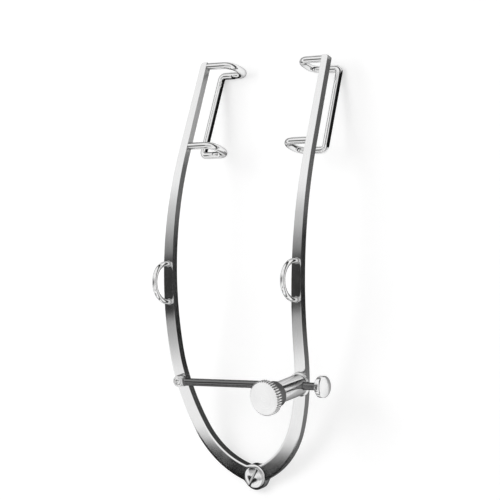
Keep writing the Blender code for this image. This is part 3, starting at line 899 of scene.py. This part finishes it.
def make_pivot_screw():
    seat = FACE + SEAT_GAP
    rim = seat + PIVOT_HEAD_HEIGHT
    profile = dome(PIVOT_HEAD_RADIUS, rim, PIVOT_HEAD_DOME) + [
        (PIVOT_HEAD_RADIUS, seat),
        (PIVOT_SHANK_RADIUS, seat),
        (PIVOT_SHANK_RADIUS, -FACE),
        (0.0, -FACE),
    ]
    top = rim + PIVOT_HEAD_DOME
    slot = block(
        (2 * (PIVOT_HEAD_RADIUS + CUT_MARGIN), SLOT_WIDTH, SLOT_DEPTH + CUT_MARGIN),
        Vector((0, 0, top + (CUT_MARGIN - SLOT_DEPTH) / 2)),
        Matrix.Rotation(SLOT_ANGLE, 4, "Z"),
    )
    mesh = softened(combined(mesh_of(turned(profile), "screw"), [slot]), SCREW_EDGE_ANGLE)
    finish("pivot_screw_turned", mesh, PIVOT_STEEL, "right_arm", "pivot_screw")


# Cross rod

def make_cross_rod():
    """The round rod, whose left end is forged down to a flat eye on the left arm."""
    length = ROD_RUN.length + ROD_BEYOND_POST
    eye_middle = FACE + SEAT_GAP + ROD_EYE_THICKNESS / 2
    ramp = ROD_TONGUE_LENGTH - ROD_EYE_RADIUS

    def past_eye(x):
        """0 at the flat eye, 1 where the rod is fully round."""
        return held((x - ROD_EYE_RADIUS) / ramp)

    bm = round_bar(ROD_RADIUS, length, Vector((length / 2, 0, 0)), ALONG_X, BORE_STEPS)
    cuts = [ROD_EYE_RADIUS + ramp * i / TONGUE_STEPS for i in range(TONGUE_STEPS + 1)]
    for cut in cuts + [length - ROD_CHAMFER]:
        whole = bm.verts[:] + bm.edges[:] + bm.faces[:]
        bmesh.ops.bisect_plane(bm, geom=whole, plane_co=(cut, 0, 0), plane_no=(1, 0, 0))
    for vert in bm.verts:
        across = vert.co.y / ROD_RADIUS
        up = vert.co.z / ROD_RADIUS
        share = past_eye(vert.co.x)
        share = share * share * (3 - 2 * share)
        power = TONGUE_POWER * (1 - share) + share
        wide = TONGUE_SHARE * ROD_EYE_RADIUS * (1 - share) + ROD_RADIUS * share
        tall = TONGUE_SHARE * ROD_EYE_THICKNESS / 2 * (1 - share) + ROD_RADIUS * share
        if vert.co.x > length - ROD_CHAMFER / 2:
            wide -= ROD_CHAMFER
            tall -= ROD_CHAMFER
        middle = eye_middle * (1 - share) + ROD_AXIS * share
        vert.co.y = wide * math.copysign(abs(across) ** power, across)
        vert.co.z = middle + tall * math.copysign(abs(up) ** power, up)
    rod = mesh_of(bm, "rod")
    at_eye = Vector((0, 0, eye_middle))
    eye = cylinder(ROD_EYE_RADIUS, ROD_EYE_THICKNESS, at_eye, steps=ROD_EYE_STEPS)
    hole_radius = RIVET_RADIUS + RUNNING_CLEARANCE
    through = ROD_EYE_THICKNESS + 2 * CUT_MARGIN
    hole = cylinder(hole_radius, through, at_eye, steps=ROD_EYE_STEPS)
    mesh = combined(combined(rod, [eye], "UNION"), [hole])
    # Marks the round part of the rod, which takes the dark painted shade, apart from the forged
    # eye.
    drawn = mesh.attributes.new("drawn", "FLOAT", "POINT")
    for vert, value in zip(mesh.vertices, drawn.data):
        value.value = past_eye(vert.co.x)
    mesh = moved(mesh, clamp_point(-1), ROD_TURN)
    finish("cross_rod_drawn", mesh, ROD_SHADED_STEEL, "cross_rod", "cross_rod")


def make_rod_rivet():
    seat = FACE + 2 * SEAT_GAP + ROD_EYE_THICKNESS
    tail_seat = FACE + SEAT_GAP
    profile = dome(RIVET_HEAD_RADIUS, seat, RIVET_HEAD_HEIGHT)
    profile += [(RIVET_RADIUS, seat), (RIVET_RADIUS, -tail_seat)]
    tail = dome(RIVET_HEAD_RADIUS, tail_seat, RIVET_HEAD_HEIGHT)
    profile += [(radius, -height) for radius, height in reversed(tail)]
    mesh = moved(mesh_of(turned(profile), "rivet"), clamp_point(-1))
    finish("rod_rivet_peened", mesh, RIVET_STEEL, "left_arm", "rod_rivet")


def make_rod_knob():
    bore = ROD_RADIUS + RUNNING_CLEARANCE
    profile = dome(KNOB_RADIUS - KNOB_CHAMFER, KNOB_THICKNESS, KNOB_DOME) + [
        (KNOB_RADIUS, KNOB_THICKNESS - KNOB_CHAMFER),
        (KNOB_RADIUS, KNOB_CHAMFER),
        (KNOB_RADIUS - KNOB_CHAMFER, 0.0),
        (bore, 0.0),
        (bore, KNOB_BORE_DEPTH),
        (0.0, KNOB_BORE_DEPTH),
    ]
    reach = ROD_BEYOND_POST - KNOB_BORE_DEPTH + SEAT_GAP
    place = clamp_point(1, ROD_AXIS) + ROD_RUN.normalized() * reach
    mesh = softened(mesh_of(turned(profile), "knob"), KNOB_EDGE_ANGLE)
    mesh = moved(mesh, place, ROD_TURN @ ALONG_X)
    finish("rod_knob_turned", mesh, KNOB_STEEL, "cross_rod", "rod_knob")


# Clamp post and thumb screw

def make_clamp_post():
    seat = FACE + SEAT_GAP
    top = FACE + POST_HEIGHT
    profile = [
        (0.0, top),
        (POST_RADIUS - POST_CHAMFER, top),
        (POST_RADIUS, top - POST_CHAMFER),
        (POST_RADIUS, seat + POST_FOOT_HEIGHT),
        (POST_FOOT_RADIUS, seat + POST_FOOT_HEIGHT / 2),
        (POST_FOOT_RADIUS, seat),
        (POST_JOURNAL_RADIUS, seat),
        (POST_JOURNAL_RADIUS, -seat),
        (POST_TAIL_RADIUS, -seat),
        (POST_TAIL_RADIUS * POST_TAIL_TAPER, -seat - POST_TAIL_HEIGHT),
        (0.0, -seat - POST_TAIL_HEIGHT),
    ]
    rod_hole = cylinder(
        ROD_RADIUS + RUNNING_CLEARANCE,
        2 * (POST_FOOT_RADIUS + CUT_MARGIN),
        Vector((0, 0, ROD_AXIS)),
        ROD_TURN @ ALONG_X,
        BORE_STEPS,
    )
    bore_length = top - ROD_AXIS + CUT_MARGIN
    bore_middle = Vector((0, 0, ROD_AXIS + bore_length / 2))
    bore_radius = SCREW_RADIUS + RUNNING_CLEARANCE
    bore = cylinder(bore_radius, bore_length, bore_middle, steps=BORE_STEPS)
    mesh = combined(mesh_of(turned(profile), "post"), [rod_hole, bore])
    mesh = moved(mesh, clamp_point(1))
    finish("clamp_post_turned", mesh, POST_STEEL, "clamp_post", "clamp_post")


def make_thumb_screw():
    """The clamp screw; every other pair of steps round its head is cut in, as the knurl."""
    tip = ROD_AXIS + ROD_RADIUS + SEAT_GAP
    collar = FACE + POST_HEIGHT + SEAT_GAP
    neck = collar + COLLAR_THICKNESS
    head = neck + NECK_LENGTH
    top = head + THUMB_THICKNESS
    profile = (
        (0.0, top),
        (THUMB_RADIUS - THUMB_CHAMFER, top),
        (THUMB_RADIUS, top - THUMB_CHAMFER),
        (THUMB_RADIUS, head + THUMB_CHAMFER),
        (THUMB_RADIUS - THUMB_CHAMFER, head),
        (NECK_RADIUS, head),
        (NECK_RADIUS, neck),
        (COLLAR_RADIUS - POST_CHAMFER, neck),
        (COLLAR_RADIUS, neck - POST_CHAMFER),
        (COLLAR_RADIUS, collar + POST_CHAMFER),
        (COLLAR_RADIUS - POST_CHAMFER, collar),
        (SCREW_RADIUS, collar),
        (SCREW_RADIUS, tip),
        (0.0, tip),
    )
    steps = KNURL_STEPS * KNURL_COUNT
    bm = turned(profile, steps)
    bmesh.ops.remove_doubles(bm, verts=bm.verts, dist=MERGE_DISTANCE)
    for vert in bm.verts:
        radius = vert.co.xy.length
        step = round(math.atan2(vert.co.y, vert.co.x) / (2 * math.pi) * steps)
        in_flute = step % KNURL_STEPS >= KNURL_STEPS / 2
        if radius > THUMB_RADIUS - MERGE_DISTANCE and in_flute:
            vert.co.xy *= (radius - KNURL_DEPTH) / radius
    mesh = mesh_of(bm, "thumb screw")
    # Marks the knurl grooves and all below the head, the neck, collar and shank, for a dull finish
    # and painted shade.
    dull_shaded_recess = mesh.attributes.new("dull_shaded_recess", "FLOAT", "CORNER")
    for face in mesh.polygons:
        for loop in face.loop_indices:
            place = mesh.vertices[mesh.loops[loop].vertex_index].co
            radius = place.xy.length
            fluted = place.z > head and radius > THUMB_RADIUS - THUMB_CHAMFER + MERGE_DISTANCE
            in_groove = fluted and radius < THUMB_RADIUS - KNURL_DEPTH / 2
            dull_shaded_recess.data[loop].value = float(in_groove or face.center.z < head - MERGE_DISTANCE)
    mesh = moved(mesh, clamp_point(1))
    finish(
        "thumb_screw_knurled", mesh, THUMB_STEEL, "thumb_screw", "thumb_screw"
    )


# Table and room

def sees_background(nodes, links):
    """1 for the rays that show the background itself: from the camera, in metal or in glass."""
    path = nodes.new("ShaderNodeLightPath")
    total = path.outputs["Is Camera Ray"]
    for kind in ("Is Glossy Ray", "Is Transmission Ray"):
        either = nodes.new("ShaderNodeMath")
        either.operation = "MAXIMUM"
        links.new(total, either.inputs[0])
        links.new(path.outputs[kind], either.inputs[1])
        total = either.outputs["Value"]
    return total


def make_table():
    bm = bmesh.new()
    bmesh.ops.create_grid(bm, x_segments=1, y_segments=1, size=FLOOR_SIZE / 2)
    table = bench("table", mesh_of(bm, "table"))
    material = bpy.data.materials.new("table_paper")
    material.use_nodes = True
    nodes = material.node_tree.nodes
    links = material.node_tree.links
    shader = nodes["Principled BSDF"]
    shader.inputs["Base Color"].default_value = grey(PAPER_TONE)
    shader.inputs["Roughness"].default_value = PAPER_ROUGHNESS
    shader.inputs["Specular IOR Level"].default_value = 0.0
    shader.inputs["Emission Color"].default_value = grey(1.0)
    lift = nodes.new("ShaderNodeMath")
    lift.operation = "MULTIPLY"
    lift.inputs[1].default_value = PAPER_LIFT
    links.new(sees_background(nodes, links), lift.inputs[0])
    links.new(lift.outputs["Value"], shader.inputs["Emission Strength"])
    table.data.materials.append(material)


def make_world():
    """A plain white room, a little dimmer as the light that falls on the table."""
    world = bpy.data.worlds.new("studio")
    bpy.context.scene.world = world
    world.use_nodes = True
    nodes = world.node_tree.nodes
    links = world.node_tree.links
    level = nodes.new("ShaderNodeMapRange")
    level.inputs["To Min"].default_value = ROOM_LIGHT
    level.inputs["To Max"].default_value = 1.0
    links.new(sees_background(nodes, links), level.inputs["Value"])
    links.new(level.outputs["Result"], nodes["Background"].inputs["Strength"])
    nodes["Background"].inputs["Color"].default_value = grey(1.0)


# Cards, which only the polished steel mirrors: they give it its dark lines and grey shades

def card_material(name, tones):
    """A glowing grey, whose brightness follows tones up the shade map."""
    material = bpy.data.materials.new(name)
    material.use_nodes = True
    nodes = material.node_tree.nodes
    links = material.node_tree.links
    nodes.clear()
    output = nodes.new("ShaderNodeOutputMaterial")
    glow = nodes.new("ShaderNodeEmission")
    links.new(glow.outputs["Emission"], output.inputs["Surface"])
    shade = nodes.new("ShaderNodeUVMap")
    shade.uv_map = "shade"
    parts = nodes.new("ShaderNodeSeparateXYZ")
    links.new(shade.outputs["UV"], parts.inputs["Vector"])
    ramp = nodes.new("ShaderNodeValToRGB")
    ramp.color_ramp.interpolation = "EASE"
    elements = ramp.color_ramp.elements
    elements[0].position = tones[0][0]
    elements[1].position = tones[-1][0]
    for position, _ in tones[1:-1]:
        elements.new(position)
    for element, (_, brightness) in zip(elements, tones):
        element.color = grey(brightness)
    links.new(parts.outputs["Y"], ramp.inputs["Fac"])
    links.new(ramp.outputs["Color"], glow.inputs["Color"])
    return material


def hang(name, bm, shade, place, tones):
    """Hangs bm up as a card.

    shade gives where a point of bm lies in the tones, and place where the point is hung.
    """
    mesh = bpy.data.meshes.new(name)
    bm.to_mesh(mesh)
    bm.free()
    layer = mesh.uv_layers.new(name="shade")
    for loop in mesh.loops:
        layer.data[loop.index].uv = (0.0, shade(mesh.vertices[loop.vertex_index].co))
    for vert in mesh.vertices:
        vert.co = place(vert.co)
    mesh.materials.append(card_material(name, tones))
    card = bench(name, mesh)
    card.visible_camera = False
    card.visible_diffuse = False
    card.visible_shadow = False
    card.visible_transmission = False
    card.visible_volume_scatter = False


def hang_flat(name, middle, facing, size, tones, lean=0.0):
    """A flat card, whose tones run up its height.

    lean slants them, by that many card heights over the card's width.
    """
    front = facing.normalized()
    up = (Vector((0, 1, 0)) - front * front.y).normalized()
    turn = Matrix((up.cross(front), up, front)).transposed().to_4x4()
    hung = Matrix.Translation(middle) @ turn @ Matrix.Diagonal((*size, 1.0, 1.0))
    bm = bmesh.new()
    bmesh.ops.create_grid(bm, x_segments=1, y_segments=1, size=0.5, calc_uvs=False)
    hang(name, bm, lambda point: point.y + 0.5 - lean * point.x, lambda point: hung @ point, tones)


def make_cards():
    pivot = AT_REST.to_translation()
    hang_flat(
        "pivot_card", pivot + PIVOT_MIRRORS * PIVOT_CARD_DISTANCE + PIVOT_CARD_OFFSET,
        -PIVOT_MIRRORS, PIVOT_CARD_SIZE, PIVOT_CARD_TONES, PIVOT_CARD_LEAN,
    )
    hang_flat(
        "loop_card", pivot + LOOPS_MIRROR * LOOP_CARD_DISTANCE + LOOP_CARD_OFFSET,
        -LOOPS_MIRROR, LOOP_CARD_SIZE, LOOP_CARD_TONES,
    )
    hang_flat("ceiling_card", CEILING_MIDDLE, Vector((0, 0, -1)), CEILING_SIZE, CEILING_TONES)


def make_horizon():
    """A low wall round the table, dark at its foot, and dark higher up towards one side."""

    def shade(point):
        away = (1 - math.cos(math.atan2(point.y, point.x) - HORIZON_DARKEST)) / 2
        return point.z / HORIZON_HEIGHT * (1 + away * HORIZON_LEAN)

    bm = bmesh.new()
    bmesh.ops.create_cone(
        bm,
        cap_ends=False,
        segments=HORIZON_STEPS,
        radius1=HORIZON_RADIUS,
        radius2=HORIZON_RADIUS,
        depth=HORIZON_HEIGHT,
        matrix=Matrix.Translation((0, 0, HORIZON_HEIGHT / 2)),
    )
    hang("table_ring", bm, shade, lambda point: point, HORIZON_TONES)


def lay_strip(name, columns, landing, tones):
    """A long card near the table, whose tones run along its columns.

    landing gives the place of a point from its share of the run and its side, -1 or 1.
    """

    def share(point):
        return (point.x + 1) / 2

    bm = bmesh.new()
    bmesh.ops.create_grid(bm, x_segments=columns, y_segments=1, size=1.0, calc_uvs=False)
    hang(name, bm, share, lambda point: landing(share(point), point.y), tones)


def make_edge_strip(name, side, last_station, tones):
    """A strip, laid where the edge of an arm towards the camera mirrors the table.

    Here, tones holds pairs of a station along the arm and the brightness of the strip there.
    """

    def landing(share, across):
        t = share * last_station
        x, y, heading = centre_line(t)
        outwards = Vector((math.cos(heading), -side * math.sin(heading), 0.0))
        middle = Vector((side * x, y, 0.0))
        edge = AT_REST @ bow(middle + outwards * half_width(t))
        facing = (edge - AT_REST @ bow(middle)).normalized()
        glance = 2 * facing.dot(CAMERA_DIRECTION) * facing - CAMERA_DIRECTION
        place = edge - glance * (edge.z / glance.z) + facing * (across * EDGE_STRIP_WIDTH / 2)
        place.z = EDGE_STRIP_LIFT
        return place

    shares = [(station / last_station, tone) for station, tone in tones]
    lay_strip(name, math.ceil(last_station / OUTLINE_STEP), landing, shares)


def make_wire_card(name, side):
    """A dark card that lies under the back wire of a blade and then stands up beside it."""

    def landing(share, across):
        y = BLADE_BOTTOM if across < 0 else BLADE_TOP
        x = side * (centre_line(station_at(y))[0] - BACK_INSET)
        middle = AT_REST @ bow(Vector((x, y, -BLADE_DEPTH)))
        lying = held(2 * share)
        standing = held(2 * share - 1)
        start = middle.x - WIRE_CARD_START * middle.z
        stop = middle.x + WIRE_CARD_DISTANCE
        height = WIRE_CARD_LIFT + standing * (middle.z + WIRE_CARD_RISE - WIRE_CARD_LIFT)
        return Vector((start + lying * (stop - start), middle.y, height))

    lay_strip(name, 2, landing, ((0.0, DARK_TONE), (1.0, DARK_TONE)))


def make_strips():
    """The edges' strips, darkest beside the finger rings, and the back wires' cards."""
    first, last = (station_at(y) for y in DARK_RUN)
    before = station_at(DARK_RUN[0] - DARK_RUN_FADE)
    after = station_at(DARK_RUN[1] + DARK_RUN_FADE)
    left_tones = (
        (0.0, DIM_TONE),
        (RIVET_STATION, DIM_TONE),
        (RIVET_STATION + CLAMP_FADE, DARK_TONE),
        (last, DARK_TONE),
        (after, MIDDLE_TONE),
        (LEFT_STRIP_END, MIDDLE_TONE),
    )
    right_tones = (
        (0.0, PALE_TONE),
        (POST_STATION, PALE_TONE),
        (before, MIDDLE_TONE),
        (first, DARK_TONE),
        (last, DARK_TONE),
        (after, MIDDLE_TONE),
        (TIP_STATION, MIDDLE_TONE),
    )
    make_edge_strip("left_edge_strip", -1, LEFT_STRIP_END, left_tones)
    make_edge_strip("right_edge_strip", 1, TIP_STATION, right_tones)
    make_wire_card("left_wire_card", -1)
    make_wire_card("right_wire_card", 1)


# Lamp and camera

def make_lamp():
    light = bpy.data.lights.new("key", "AREA")
    light.shape = "SQUARE"
    light.size = KEY_SIZE
    light.energy = KEY_WATTS
    lamp = bench("key", light)
    lamp.location = KEY_PLACE
    lamp.rotation_euler = (-KEY_PLACE).to_track_quat("-Z", "Y").to_euler()
    lamp.visible_glossy = False


def make_camera():
    data = bpy.data.cameras.new("photo_view")
    data.lens = CAMERA_LENS_MM
    data.sensor_width = CAMERA_SENSOR_MM
    data.sensor_fit = "HORIZONTAL"
    data.clip_start = CAMERA_CLIP
    camera = bench("photo_view", data)
    place = CAMERA_TARGET + CAMERA_DIRECTION * CAMERA_DISTANCE
    camera.matrix_world = Matrix.Translation(place) @ CAMERA_TURN.to_4x4()
    bpy.context.scene.camera = camera


for hand, hand_side in (("left", -1), ("right", 1)):
    make_arm(f"{hand}_arm", hand_side)
    make_blade_wire(f"{hand}_blade_wire", hand_side, f"{hand}_arm")
    make_finger_loop(f"{hand}_finger_loop", hand_side, f"{hand}_arm")
make_pivot_screw()
make_cross_rod()
make_rod_rivet()
make_rod_knob()
make_clamp_post()
make_thumb_screw()
make_table()
make_world()
make_cards()
make_horizon()
make_strips()
make_lamp()
make_camera()
bpy.context.scene.view_settings.view_transform = "Standard"
